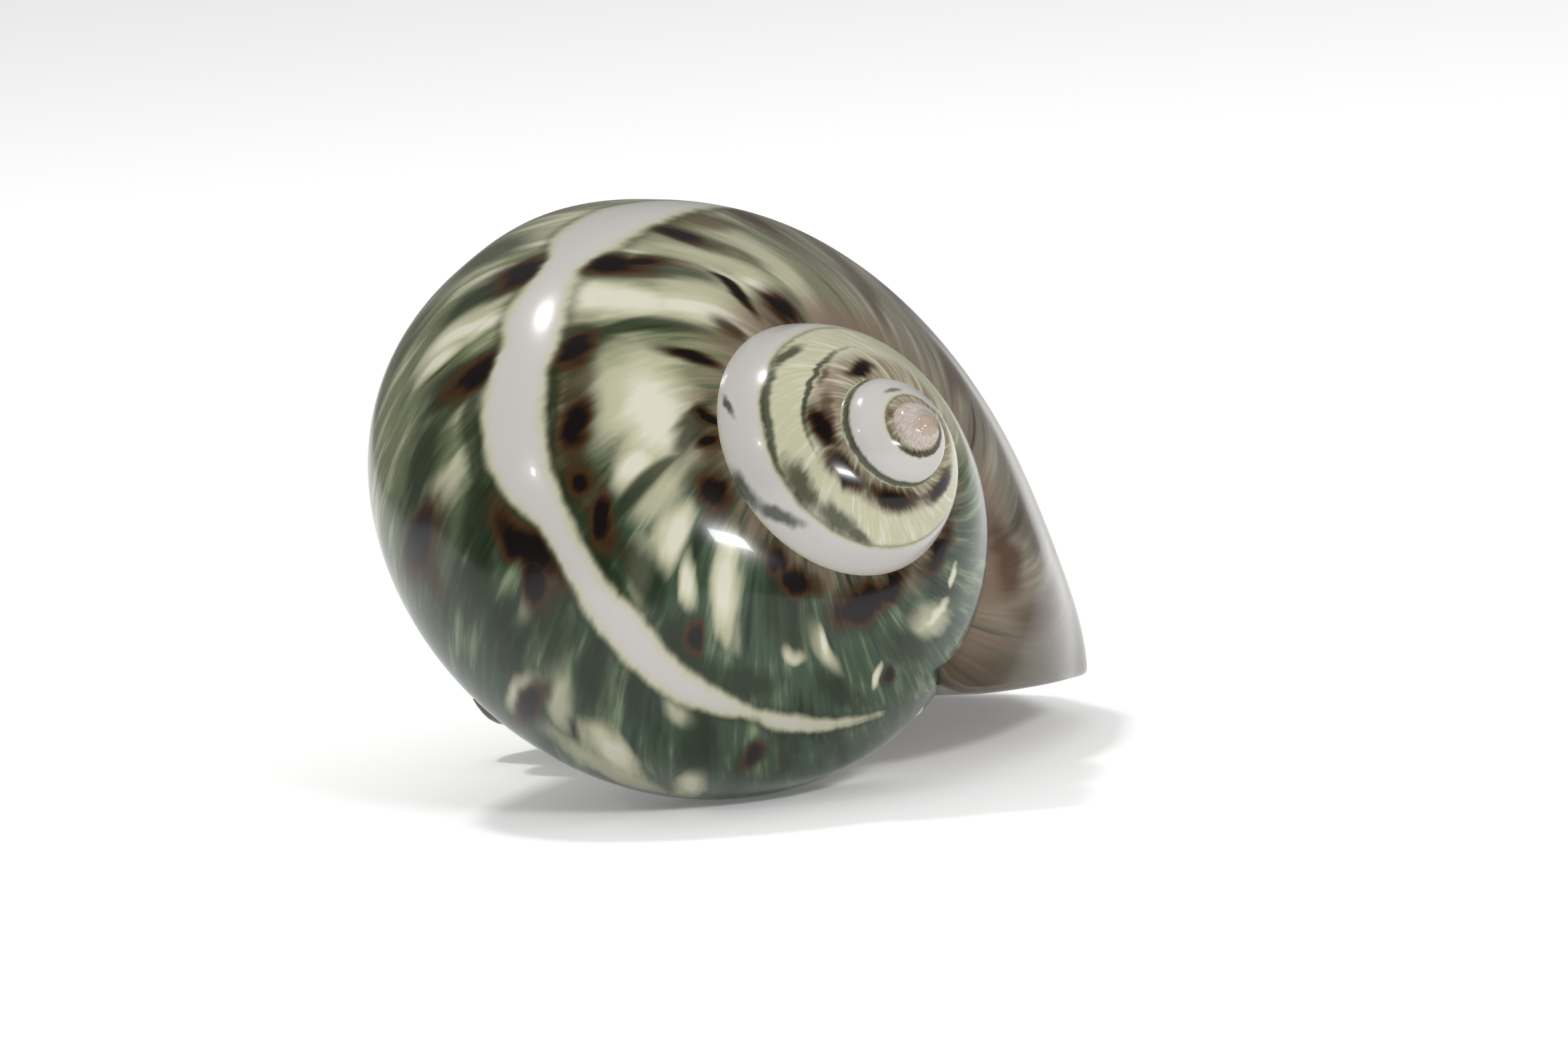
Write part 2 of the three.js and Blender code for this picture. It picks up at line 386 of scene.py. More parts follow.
# Light from all round that leaves no gloss, so it doesn't haze the dark colours.
FILL_STRENGTH = 1.6
FILL_ANGLE = 150 * DEG
WORLD_STRENGTH = 0.2

# Where the grown shell was laid down, which the camera goes by.
PLACED = {}


class Value:
    """A number in a node tree that takes ordinary arithmetic."""

    def __init__(self, tree, socket):
        self.tree = tree
        self.socket = socket

    def __add__(self, other):
        return calculate("ADD", self, other)

    __radd__ = __add__

    def __sub__(self, other):
        return calculate("SUBTRACT", self, other)

    def __rsub__(self, other):
        return calculate("SUBTRACT", other, self)

    def __mul__(self, other):
        return calculate("MULTIPLY", self, other)

    __rmul__ = __mul__

    def __truediv__(self, other):
        return calculate("DIVIDE", self, other)

    def __rtruediv__(self, other):
        return calculate("DIVIDE", other, self)

    def __pow__(self, other):
        return calculate("POWER", self, other)


def calculate(operation, *values):
    """One Math node, in the tree of whichever value has one."""
    tree = next(value.tree for value in values if isinstance(value, Value))
    node = tree.nodes.new("ShaderNodeMath")
    node.operation = operation
    for socket, value in zip(node.inputs, values):
        if isinstance(value, Value):
            tree.links.new(value.socket, socket)
        else:
            socket.default_value = value
    return Value(tree, node.outputs[0])


def sine(angle):
    return calculate("SINE", angle)


def cosine(angle):
    return calculate("COSINE", angle)


def exponential(power):
    return calculate("EXPONENT", power)


def length_of(along, across):
    return calculate("SQRT", along * along + across * across)


def blend(start, end, share):
    return start + (end - start) * share


def turned_within(angle):
    """The same angle between -180 and 180 degrees."""
    return calculate("WRAP", angle, math.pi, -math.pi)


def hump(beta, shape):
    """A smooth hump round the section."""
    away = turned_within(beta - shape["at"] * DEG) / (shape["spread"] * DEG)
    return shape["height"] * exponential(away * away * -1.0)


class ShellTree:
    """The Geometry Nodes tree that grows the shell."""

    def __init__(self, name, sizes):
        self.tree = bpy.data.node_groups.new(name, "GeometryNodeTree")
        self.inputs = {}
        self.tree.interface.new_socket(
            "Shell", in_out="OUTPUT", socket_type="NodeSocketGeometry"
        )
        for size in sizes:
            kind = "NodeSocketInt" if isinstance(size["value"], int) else "NodeSocketFloat"
            socket = self.tree.interface.new_socket(
                size["name"], in_out="INPUT", socket_type=kind
            )
            self.inputs[size["name"]] = socket.identifier
        self.group_in = self.tree.nodes.new("NodeGroupInput")
        self.group_out = self.tree.nodes.new("NodeGroupOutput")

    def size(self, name):
        return Value(self.tree, self.group_in.outputs[name])

    def node(self, kind, **settings):
        node = self.tree.nodes.new(kind)
        for key, value in settings.items():
            setattr(node, key, value)
        return node

    def link(self, source, target):
        self.tree.links.new(source, target)

    def reach(self, beta, turn):
        """From the section's middle to its outside, before the growth is applied."""
        wide, high = self.size("Half Width"), self.size("Half Height")
        lean = beta - self.size("Lean")
        ellipse = wide * high / length_of(high * cosine(lean), wide * sine(lean))
        corners = self.size("Triangle Share") * sine(beta * 3.0)
        corners = corners - self.size("Square Share") * sine(beta * 4.0)
        shaped = ellipse * (1.0 - corners + hump(beta, FULLER_SIDE))
        swell = 1.0 + CORD_SWELL * exponential(turn / CORD_SWELL_TURNS)
        cords = sum(hump(beta, cord) for cord in CORDS)
        before = calculate("MINIMUM", (turn - EDGE_FLARE_FROM) / EDGE_FLARE_TURNS, 0.0)
        flare = 1.0 + self.size("Flare") * exponential(turn / FLARE_TURNS)
        flare = flare + EDGE_FLARE * exponential(before * before * -1.0)
        return (shaped + swell * cords) * flare

    def section_point(self, turn, beta, length, nearest):
        """A point of the coil's own frame, as its three coordinates."""
        out = self.size("Middle Out") + length * cosine(beta)
        out = calculate("MAXIMUM", out, nearest)
        down = self.size("Middle Down") - length * sine(beta)
        scale = calculate("POWER", self.size("Growth"), turn)
        angle = turn * (2 * math.pi)
        return (
            scale * out * cosine(angle),
            scale * out * sine(angle) * -1.0,
            scale * down * -1.0,
        )

    def halving(self, low, high, beyond):
        """The place between low and high from which beyond(place) is 1."""
        start = self.node("GeometryNodeRepeatInput")
        end = self.node("GeometryNodeRepeatOutput")
        start.pair_with_output(end)
        end.repeat_items.clear()
        for name, value in (("Low", low), ("High", high)):
            end.repeat_items.new("FLOAT", name)
            if isinstance(value, Value):
                self.link(value.socket, start.inputs[name])
            else:
                start.inputs[name].default_value = value
        start.inputs["Iterations"].default_value = SEARCH_STEPS
        low_now = Value(self.tree, start.outputs["Low"])
        high_now = Value(self.tree, start.outputs["High"])
        middle = (low_now + high_now) * 0.5
        passed = beyond(middle)
        self.link(blend(middle, low_now, passed).socket, end.inputs["Low"])
        self.link(blend(high_now, middle, passed).socket, end.inputs["High"])
        return Value(self.tree, end.outputs["Low"])

    def lip_turn(self, beta, on_side):
        """The turn at which the shell ends in the direction beta."""

        def beyond(turn):
            length = self.reach(beta, turn) * on_side
            point = self.section_point(turn, beta, length, AXIS_GAP)
            height = sum(p * n for p, n in zip(point, LIP_NORMAL))
            return calculate("LESS_THAN", height, LIP_DISTANCE)

        outer = self.halving(*LIP_SEARCH, beyond)
        swing = cosine(beta - INNER_LIP["at"] * DEG) * INNER_LIP["swing"]
        inner = swing + INNER_LIP["middle"]
        soft = exponential(outer / -LIP_SOFTNESS) + exponential(inner / -LIP_SOFTNESS)
        return calculate("LOGARITHM", soft, math.e) * -LIP_SOFTNESS

    def room_before(self, beta, turn, most):
        """How far the direction beta runs before it meets the whorl before."""
        growth = self.size("Growth")
        from_axis = self.size("Middle Out") * (1.0 - 1.0 / growth)
        from_apex = self.size("Middle Down") * (1.0 / growth - 1.0)

        def inside(length):
            far = length + INNER_WALL
            out = from_axis + far * cosine(beta)
            up = from_apex + far * sine(beta)
            limit = self.reach(calculate("ARCTAN2", up, out), turn - 1.0)
            return calculate("LESS_THAN", length_of(out, up) * growth, limit)

        return self.halving(0.0, most, inside)

    def rounded(self, share):
        """The radius of a closed, rounded end, as a share, at a share of its length."""
        left = 1.0 - calculate("MINIMUM", share, 1.0)
        return calculate("SQRT", calculate("MAXIMUM", 1.0 - left * left, 0.0))

    def bent_cylinder(
        self, rows, rings, start, end_of, length_at, nearest, inside, at_lip=False
    ):
        """A closed unit cylinder whose rings become sections along the spiral.

        Its corners keep where they are on the coil, whether they are in the hollow and how
        far from the lip they are. On a face that crosses the line where beta starts again,
        beta runs on past it.
        """
        cylinder = self.node("GeometryNodeMeshCylinder", fill_type="TRIANGLE_FAN")
        self.link(rows.socket, cylinder.inputs["Vertices"])
        self.link(rings.socket, cylinder.inputs["Side Segments"])
        cylinder.inputs["Depth"].default_value = 1.0
        position = self.node("GeometryNodeInputPosition")
        of_face = self.node(
            "GeometryNodeFieldOnDomain", domain="FACE", data_type="FLOAT_VECTOR"
        )
        self.link(position.outputs[0], of_face.inputs[0])
        x, y, z = self.coordinates(position.outputs[0])
        face_x, face_y, _ = self.coordinates(of_face.outputs[0])
        on_side = calculate("GREATER_THAN", length_of(x, y), 0.5)
        beta = calculate("ARCTAN2", y, x) * on_side
        to_go = calculate("MAXIMUM", 0.5 - z, 0.0) ** (LIP_CROWDING if at_lip else 1.0)
        end = end_of(beta, on_side)
        turn = to_go * start + end * (1.0 - to_go)
        face_beta = calculate("ARCTAN2", face_y, face_x)
        unrolled = face_beta + turned_within(beta - face_beta)
        growth = self.node("ShaderNodeCombineXYZ")
        self.link(turn.socket, growth.inputs["X"])
        self.link((unrolled / (2 * math.pi)).socket, growth.inputs["Y"])
        stored = self.store(cylinder.outputs["Mesh"], "growth", "FLOAT2", growth.outputs[0])
        stored = self.store(stored, "inside", "FLOAT", inside)
        to_lip = (end - turn).socket if at_lip else 1.0
        stored = self.store(stored, "to_lip", "FLOAT", to_lip)
        length = length_at(beta, turn, end) * on_side
        point = self.node("ShaderNodeCombineXYZ")
        for axis, part in enumerate(self.section_point(turn, beta, length, nearest)):
            self.link(part.socket, point.inputs[axis])
        bend = self.node("GeometryNodeSetPosition")
        self.link(stored, bend.inputs["Geometry"])
        self.link(point.outputs[0], bend.inputs["Position"])
        return bend.outputs[0]

    def coordinates(self, socket):
        split = self.node("ShaderNodeSeparateXYZ")
        self.link(socket, split.inputs[0])
        return [Value(self.tree, output) for output in split.outputs]

    def store(self, geometry, name, data_type, value):
        """Keeps a value on each face corner, where a seam can have two."""
        node = self.node(
            "GeometryNodeStoreNamedAttribute", data_type=data_type, domain="CORNER"
        )
        node.inputs["Name"].default_value = name
        self.link(geometry, node.inputs["Geometry"])
        if isinstance(value, (int, float, tuple)):
            node.inputs["Value"].default_value = value
        else:
            self.link(value, node.inputs["Value"])
        return node.outputs[0]

    def whorl(self, start, end):
        """One stretch of whorl. Without an end it runs to the lip."""
        at_lip = end is None

        def length_at(beta, turn, last):
            nub = self.rounded((turn - FIRST_TURN) / NUB_TURNS + NUB_START)
            length = self.reach(beta, turn) * nub
            if at_lip:
                edge = self.rounded((last - turn) / LIP_ROUND_TURNS) - 1.0
                length = length + edge * LIP_ROUND
            return length

        def same_end(beta, on_side):
            return on_side * 0.0 + end

        turns = (0.0 if at_lip else end) - start
        return self.bent_cylinder(
            rows=self.size("Rows"),
            rings=calculate("CEIL", self.size("Rings Per Turn") * turns),
            start=start,
            end_of=self.lip_turn if at_lip else same_end,
            length_at=length_at,
            nearest=AXIS_GAP,
            inside=0.0,
            at_lip=at_lip,
        )

    def hollow(self):
        """What is taken out of the last whorl, from the mouth inwards."""

        def length_at(beta, turn, last):
            to_edge = calculate("MINIMUM", turn - last + BEYOND_LIP, 0.0)
            thinner = (self.size("Wall") - EDGE_WALL) * exponential(to_edge / EDGE_TURNS)
            wall = self.size("Wall") - thinner
            most = self.room_before(beta, turn, self.reach(beta, turn) - wall)
            nub = (turn - HOLLOW_FROM) / HOLLOW_NUB_TURNS + NUB_START
            return most * self.rounded(nub)

        return self.bent_cylinder(
            rows=self.size("Hollow Rows"),
            rings=calculate("CEIL", self.size("Hollow Rings Per Turn") * -HOLLOW_FROM),
            start=HOLLOW_FROM,
            end_of=lambda beta, on_side: self.lip_turn(beta, on_side) + BEYOND_LIP,
            length_at=length_at,
            nearest=COLUMELLA_RADIUS,
            inside=1.0,
        )

    def pillar(self):
        """The cone on the coil axis and its rounded foot."""
        top, foot = (
            CORE_RADIUS * down / CORE_MEASURED_AT for down in (CORE_TOP, CORE_END)
        )
        cone = self.node("GeometryNodeMeshCone", fill_type="TRIANGLE_FAN")
        around, along = CORE_FACETS
        for name, value in (
            ("Vertices", around),
            ("Side Segments", along),
            ("Radius Top", top),
            ("Radius Bottom", foot),
            ("Depth", CORE_END - CORE_TOP),
        ):
            cone.inputs[name].default_value = value
        placed = self.move(cone.outputs["Mesh"], -CORE_END)
        end = self.ball(CORE_FACETS, foot * FOOT_SHARE, -CORE_END)
        parts = [self.store(part, "inside", "FLOAT", 1.0) for part in (placed, end)]
        return [self.store(part, "to_lip", "FLOAT", 1.0) for part in parts]

    def tip(self):
        """The apex, worn to a small round knob."""
        placed = self.ball(TIP_FACETS, TIP_RADIUS, -TIP_DOWN)
        placed = self.store(placed, "to_lip", "FLOAT", 1.0)
        return self.store(placed, "growth", "FLOAT2", (FIRST_TURN, 0.0, 0.0))

    def ball(self, facets, radius, height):
        """A ball on the coil axis."""
        node = self.node("GeometryNodeMeshUVSphere")
        for name, value in zip(("Segments", "Rings", "Radius"), (*facets, radius)):
            node.inputs[name].default_value = value
        return self.move(node.outputs["Mesh"], height)

    def move(self, geometry, height):
        node = self.node("GeometryNodeTransform")
        node.inputs["Translation"].default_value = (0, 0, height)
        self.link(geometry, node.inputs["Geometry"])
        return node.outputs[0]

    def combine(self, operation, first, *others):
        """Joins closed meshes, or cuts the others out of the first."""
        node = self.node("GeometryNodeMeshBoolean", operation=operation, solver="MANIFOLD")
        self.link(first, node.inputs["Mesh 2" if operation == "UNION" else "Mesh 1"])
        for other in others:
            self.link(other, node.inputs["Mesh 2"])
        return node.outputs["Mesh"]

    def finish(self, geometry, material):
        smooth = self.node("GeometryNodeSetShadeSmooth")
        self.link(geometry, smooth.inputs["Geometry"])
        real = self.node("GeometryNodeRealizeInstances")
        self.link(smooth.outputs[0], real.inputs[0])
        paint = self.node("GeometryNodeSetMaterial")
        paint.inputs["Material"].default_value = material
        self.link(real.outputs[0], paint.inputs["Geometry"])
        self.link(paint.outputs[0], self.group_out.inputs[0])


class ShellSizes(bpy.types.PropertyGroup):
    """The sizes of the shell that a user would change."""

    growth: bpy.props.FloatProperty(
        name="Growth", description="How many times larger each turn is", default=2.32
    )
    middle_out: bpy.props.FloatProperty(
        name="Middle Out",
        description="From the coil axis to the middle of the section, at the lip",
        default=17.2 * MM,
        unit="LENGTH",
        precision=5,
    )
    middle_down: bpy.props.FloatProperty(
        name="Middle Down",
        description="From the apex down to the middle of the section, at the lip",
        default=41.4 * MM,
        unit="LENGTH",
        precision=5,
    )
    half_width: bpy.props.FloatProperty(
        name="Half Width",
        description="Half the section's short side, at the lip",
        default=19.1 * MM,
        unit="LENGTH",
        precision=5,
    )
    half_height: bpy.props.FloatProperty(
        name="Half Height",
        description="Half the section's long side, at the lip",
        default=23.0 * MM,
        unit="LENGTH",
        precision=5,
    )
    lean: bpy.props.FloatProperty(
        name="Lean",
        description="How far the section's long side leans",
        default=16.4 * DEG,
        subtype="ANGLE",
    )
    triangle_share: bpy.props.FloatProperty(
        name="Triangle Share",
        description="How far the section leaves an ellipse towards three corners",
        default=0.048,
    )
    square_share: bpy.props.FloatProperty(
        name="Square Share",
        description="How far the section leaves an ellipse towards four corners",
        default=0.035,
    )
    flare: bpy.props.FloatProperty(
        name="Flare", description="How far the last part turn widens", default=0.056
    )
    wall: bpy.props.FloatProperty(
        name="Wall",
        description="The thickness of the last whorl's wall at the lip",
        default=2.2 * MM,
        unit="LENGTH",
        precision=5,
    )
    rows: bpy.props.IntProperty(
        name="Rows", description="Facets round a section", default=144
    )
    rings_per_turn: bpy.props.IntProperty(
        name="Rings Per Turn", description="Facets along one turn", default=170
    )
    hollow_rows: bpy.props.IntProperty(
        name="Hollow Rows", description="Facets round the hollow", default=96
    )
    hollow_rings_per_turn: bpy.props.IntProperty(
        name="Hollow Rings Per Turn",
        description="Facets along one turn of the hollow",
        default=100,
    )


def srgb(red, green, blue):
    """A colour given as it looks on screen, from 0 to 255."""
    return tuple((part / 255) ** 2.2 for part in (red, green, blue))


def color_property(name, description, red, green, blue):
    return bpy.props.FloatVectorProperty(
        name=name,
        description=description,
        subtype="COLOR",
        size=3,
        min=0.0,
        max=1.0,
        default=srgb(red, green, blue),
    )


class ShellColors(bpy.types.PropertyGroup):
    """The colours of the glaze."""

    olive_dark: color_property("Dark Olive", "Dark streaks of the olive part", 34, 42, 20)
    olive: color_property("Olive", "The olive part", 104, 110, 82)
    olive_light: color_property(
        "Light Olive", "Light streaks of the olive part", 178, 176, 150
    )
    teal_dark: color_property("Dark Teal", "Dark streaks of the green part", 20, 32, 22)
    teal: color_property("Teal", "The green part", 52, 68, 52)
    teal_light: color_property(
        "Light Teal", "Light streaks of the green part", 112, 126, 98
    )
    late_dark: color_property("Dark Buff", "Dark streaks near the lip", 64, 56, 44)
    late: color_property("Buff", "The part near the lip", 112, 106, 92)
    late_light: color_property("Light Buff", "Light streaks near the lip", 146, 141, 126)
    cream: color_property("Cream", "The edges of cream patches", 168, 166, 140)
    cream_light: color_property("Light Cream", "Cream patches", 192, 190, 172)
    white: color_property("White", "The band on the shoulder", 176, 173, 169)
    deep_green: color_property("Deep Green", "Green patches and lines", 28, 38, 20)
    rust: color_property("Rust", "The zone next to the suture", 112, 92, 80)
    worn: color_property("Worn", "The worn tip", 160, 136, 122)
    brown: color_property("Brown", "The edges of the dark spots", 62, 40, 18)
    black_brown: color_property("Black Brown", "The middles of the dark spots", 16, 5, 2)
    pearl_cool: color_property("Cool Pearl", "Inside the mouth", 214, 220, 214)
    pearl_warm: color_property("Warm Pearl", "Inside the mouth", 228, 212, 204)


def tree_sizes(sizes):
    """The sizes as the tree's named inputs, in the order of the property group."""
    return [
        {"name": annotation.keywords["name"], "value": getattr(sizes, key)}
        for key, annotation in ShellSizes.__annotations__.items()
    ]


def lying_down():
    """Turns the coil's own frame into the one in which the shell lies."""
    front = LOOKED_AT_FROM - UP * LOOKED_AT_FROM.dot(UP)
    back = -front.normalized()
    right = back.cross(UP)
    return Matrix((right, back, UP)).to_4x4()


def largest_body(mesh):
    """Drops the crumbs of a few facets that joining can leave."""
    edited = bmesh.new()
    edited.from_mesh(mesh)
    edited.verts.ensure_lookup_table()
    unseen = set(edited.verts)
    bodies = []
    while unseen:
        body, front = set(), [unseen.pop()]
        while front:
            vertex = front.pop()
            body.add(vertex)
            for edge in vertex.link_edges:
                other = edge.other_vert(vertex)
                if other in unseen:
                    unseen.discard(other)
                    front.append(other)
        bodies.append(body)
    bodies.sort(key=len)
    for crumb in bodies[:-1]:
        bmesh.ops.delete(edited, geom=list(crumb), context="VERTS")
    edited.to_mesh(mesh)
    edited.free()


def points_of(mesh):
    points = np.empty(len(mesh.vertices) * 3)
    mesh.vertices.foreach_get("co", points)
    return points.reshape(-1, 3)


def fitted(mesh):
    """The matrix that lays the mesh down inside the CAD part's box."""
    low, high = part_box("shell")
    turn = lying_down()
    lying = points_of(mesh) @ np.array(turn.to_3x3()).T
    extent = lying.max(0) - lying.min(0)
    scale = min(1.0, *((np.array(high) - np.array(low)) / extent))
    middle = (lying.max(0) + lying.min(0)) / 2
    move = Vector(
        (
            (low.x + high.x) / 2 - scale * middle[0],
            (low.y + high.y) / 2 - scale * middle[1],
            low.z - scale * lying[:, 2].min(),
        )
    )
    return Matrix.Translation(move) @ Matrix.Scale(scale, 4) @ turn


def ramp(value, start, end):
    """0 at start and 1 at end, smoothly."""
    share = np.clip((value - start) / (end - start), 0, 1)
    return share * share * (3 - 2 * share)


def band_depth(turn, beta):
    """How far inside the white band each place is, in tens of degrees."""

    def inside(low, high):
        return np.minimum(beta - low, high - beta)

    def giving_way(first, second, turns):
        share = ramp(turn, *turns)
        return first * (1 - share) + second * share

    turns, lows, highs = np.array(BAND).T
    last = inside(np.interp(turn, turns, lows), np.interp(turn, turns, highs))
    last = np.where(turn > turns[0], last, NO_BAND)
    depth = giving_way(inside(*EARLIER_BAND), last, EARLIER_TO_LAST)
    return giving_way(inside(*OLDEST_BAND), depth, OLDEST_TO_EARLIER) / 10


def mark_shell(mesh):
    """Stores what changes slowly over the shell: its zones and the white band."""
    pairs = np.empty(len(mesh.loops) * 2, np.float32)
    mesh.attributes["growth"].data.foreach_get("vector", pairs)
    turn, beta = pairs[0::2].astype(float), pairs[1::2].astype(float) * 360
    beta = (beta + 180) % 360 - 180
    fields = {
        name: np.prod([ramp(turn, *slope) for slope in slopes], axis=0)
        for name, slopes in ZONES.items()
    }
    fields["band"] = band_depth(turn, beta)
    nearer = beta + RUST_WIDER * ramp(turn, *RUST_WIDER_TURNS)
    fields["rust"] = ramp(nearer, *RUST_STARTS) * (1 - ramp(beta, *RUST_ENDS))
    for name, values in fields.items():
        attribute = mesh.attributes.new(name, "FLOAT", "CORNER")
        attribute.data.foreach_set("value", values.astype(np.float32))


class GlazeTree:
    """The nodes of the shell's own material, painted coat over coat."""

    def __init__(self, name):
        self.material = bpy.data.materials.new(name)
        self.material.use_nodes = True
        self.tree = self.material.node_tree
        self.shader = self.tree.nodes["Principled BSDF"]
        self.color = None
        growth = self.tree.nodes.new("ShaderNodeUVMap")
        growth.uv_map = "growth"
        split = self.tree.nodes.new("ShaderNodeSeparateXYZ")
        self.tree.links.new(growth.outputs[0], split.inputs[0])
        self.turn = Value(self.tree, split.outputs[0])
        degrees = Value(self.tree, split.outputs[1]) * 360.0
        self.beta = calculate("WRAP", degrees, 180.0, -180.0)
        past = calculate("MAXIMUM", self.beta - STREAK_BEND_FROM, 0.0)
        lean = (self.beta - STREAK_LEAN_FROM) * STREAK_LEAN + past * past * STREAK_BEND
        self.age = self.turn - lean
        drift = self.grain("drift", output="Color")
        drift = vector_math(self.tree, "SUBTRACT", drift.socket, (0.5, 0.5, 0.5))
        drift = vector_math(self.tree, "MULTIPLY", drift, MARK_DRIFT)
        place = self.tree.nodes.new("ShaderNodeCombineXYZ")
        self.tree.links.new((self.turn * MAP_PER_TURN).socket, place.inputs["X"])
        self.tree.links.new(self.beta.socket, place.inputs["Y"])
        self.place = vector_math(self.tree, "ADD", place.outputs[0], drift)

    def field(self, name):
        """What the mesh has stored under a name."""
        node = self.tree.nodes.new("ShaderNodeAttribute")
        node.attribute_name = name
        return Value(self.tree, node.outputs["Fac"])

    def depth_in(self, marks):
        """How deep each place lies in the nearest mark: 1 in its middle, 0 at its edge."""
        nearest = None
        for *ends, half_width in marks:
            start, end = (Vector((turn * MAP_PER_TURN, beta)) for turn, beta in ends)
            half_length = (end - start).length / 2 + half_width
            mark = self.tree.nodes.new("ShaderNodeTexGradient")
            mark.gradient_type = "SPHERICAL"
            spot = mark.texture_mapping
            spot.vector_type = "TEXTURE"
            spot.translation = (*(start + end) / 2, 0)
            spot.rotation = (0, 0, math.atan2(end.y - start.y, end.x - start.x))
            spot.scale = (half_length * 2, half_width * 2, 1)
            self.tree.links.new(self.place, mark.inputs["Vector"])
            depth = Value(self.tree, mark.outputs["Fac"])
            nearest = depth if nearest is None else calculate("MAXIMUM", nearest, depth)
        return nearest * 2.0 - 1.0

    def grain(self, name, output="Fac"):
        """Noise that follows the growth, by its name in GRAINS."""
        along, across, detail, own_place = GRAINS[name]
        place = self.tree.nodes.new("ShaderNodeCombineXYZ")
        self.tree.links.new((self.age * along).socket, place.inputs["X"])
        self.tree.links.new((self.beta * (across / 360)).socket, place.inputs["Y"])
        place.inputs["Z"].default_value = own_place
        noise = self.tree.nodes.new("ShaderNodeTexNoise")
        noise.inputs["Scale"].default_value = 1.0
        noise.inputs["Detail"].default_value = detail
        self.tree.links.new(place.outputs[0], noise.inputs["Vector"])
        return Value(self.tree, noise.outputs[output])

    def step(self, value, start, end):
        """0 up to start and 1 from end, smoothly."""
        node = self.tree.nodes.new("ShaderNodeMapRange")
        node.interpolation_type = "SMOOTHSTEP"
        self.tree.links.new(value.socket, node.inputs["Value"])
        node.inputs["From Min"].default_value = start
        node.inputs["From Max"].default_value = end
        return Value(self.tree, node.outputs[0])

    def mix(self, share, first, second):
        """The first colour, with a share of the second over it."""
        node = self.tree.nodes.new("ShaderNodeMix")
        node.data_type = "RGBA"
        self.tree.links.new(share.socket, node.inputs["Factor"])
        colors = [socket for socket in node.inputs if socket.type == "RGBA"]
        for socket, color in zip(colors, (first, second)):
            if isinstance(color, bpy.types.NodeSocket):
                self.tree.links.new(color, socket)
            else:
                socket.default_value = (*color, 1.0)
        return next(socket for socket in node.outputs if socket.type == "RGBA")

    def tones(self, share, dark, middle, light):
        """Three tones in a row."""
        lower = self.mix(self.step(share, 0.1, 0.5), dark, middle)
        return self.mix(self.step(share, 0.5, 0.9), lower, light)

    def paint(self, share, color):
        """One more coat over what is there already."""
        self.color = self.mix(share, self.color, color)


def vector_math(tree, operation, first, second):
    """One Vector Math node. The first value is a socket."""
    node = tree.nodes.new("ShaderNodeVectorMath")
    node.operation = operation
    tree.links.new(first, node.inputs[0])
    if isinstance(second, bpy.types.NodeSocket):
        tree.links.new(second, node.inputs[1])
    else:
        node.inputs[1].default_value = second
    return node.outputs["Vector"]


def paint_streaks(glaze, colors, streak):
    """The ground: streaks along the growth lines, in other tones in each zone."""
    light = glaze.grain("broad") * 0.6 + streak * 0.8 + glaze.grain("fine") * 0.3
    light = (light - 0.85) * 1.5 + 0.5
    olive = glaze.tones(light, colors.olive_dark, colors.olive, colors.olive_light)
    teal = glaze.tones(light, colors.teal_dark, colors.teal, colors.teal_light)
    glaze.color = glaze.mix(glaze.field("cool"), olive, teal)
    late = glaze.tones(light, colors.late_dark, colors.late, colors.late_light)
    glaze.paint(glaze.field("late"), late)
    old = glaze.tones(light, colors.olive_light, colors.cream, colors.cream_light)
    glaze.paint(glaze.field("old"), old)


def paint_cream(glaze, colors, wobble):
    """Soft cream areas, then the pale patches."""
    buff = glaze.depth_in(BUFF_PATCHES) + wobble * 0.8
    glaze.paint(glaze.step(buff, -0.7, 0.6) * 0.8, colors.cream)
    pale = glaze.depth_in(PALE_PATCHES) + wobble * 0.7
    glaze.paint(glaze.step(pale, -0.7, 0.2), colors.cream)
    glaze.paint(glaze.step(pale, 0.0, 0.6), colors.cream_light)


def paint_band(glaze, colors, wobble):
    """The white band, edged with dark olive and cream.

    Gives where marks may be painted: beside the band on the last whorl, and everywhere on
    the earlier ones.
    """
    band = glaze.field("band") + wobble * 0.4
    glaze.paint(glaze.step(band, -0.6, -0.15) * 0.5, colors.olive_dark)
    glaze.paint(glaze.step(band, -0.3, 0.1), colors.cream)
    glaze.paint(glaze.step(band, -0.1, 0.4), colors.white)
    beside = (1.0 - glaze.step(band, -0.3, 0.15)) * (1.0 - glaze.field("old"))
    return beside + glaze.field("old")


def paint_marks(glaze, colors, wobble, free):
    """Green patches, the lip's rim, brown tints and the dark spots with their halos."""
    green = glaze.depth_in(GREEN_PATCHES) + wobble * 0.8
    glaze.paint(glaze.step(green, -0.7, 0.5) * 0.85 * free, colors.deep_green)
    rim = 1.0 - glaze.step(glaze.field("to_lip") + wobble * 0.04, 0.0, 0.06)
    glaze.paint(rim * 0.85, colors.late_dark)
    tint = glaze.depth_in(BROWN_TINTS) + wobble * 0.9
    glaze.paint(glaze.step(tint, -0.5, 0.6) * 0.7 * free, colors.brown)
    dark = glaze.depth_in(DARK_SPOTS) + wobble * 0.8
    glaze.paint(glaze.step(dark, -0.9, 0.0) * 0.6 * free, colors.deep_green)
    glaze.paint(glaze.step(dark, -0.4, 0.25) * free, colors.brown)
    glaze.paint(glaze.step(dark, -0.05, 0.5) * free, colors.black_brown)


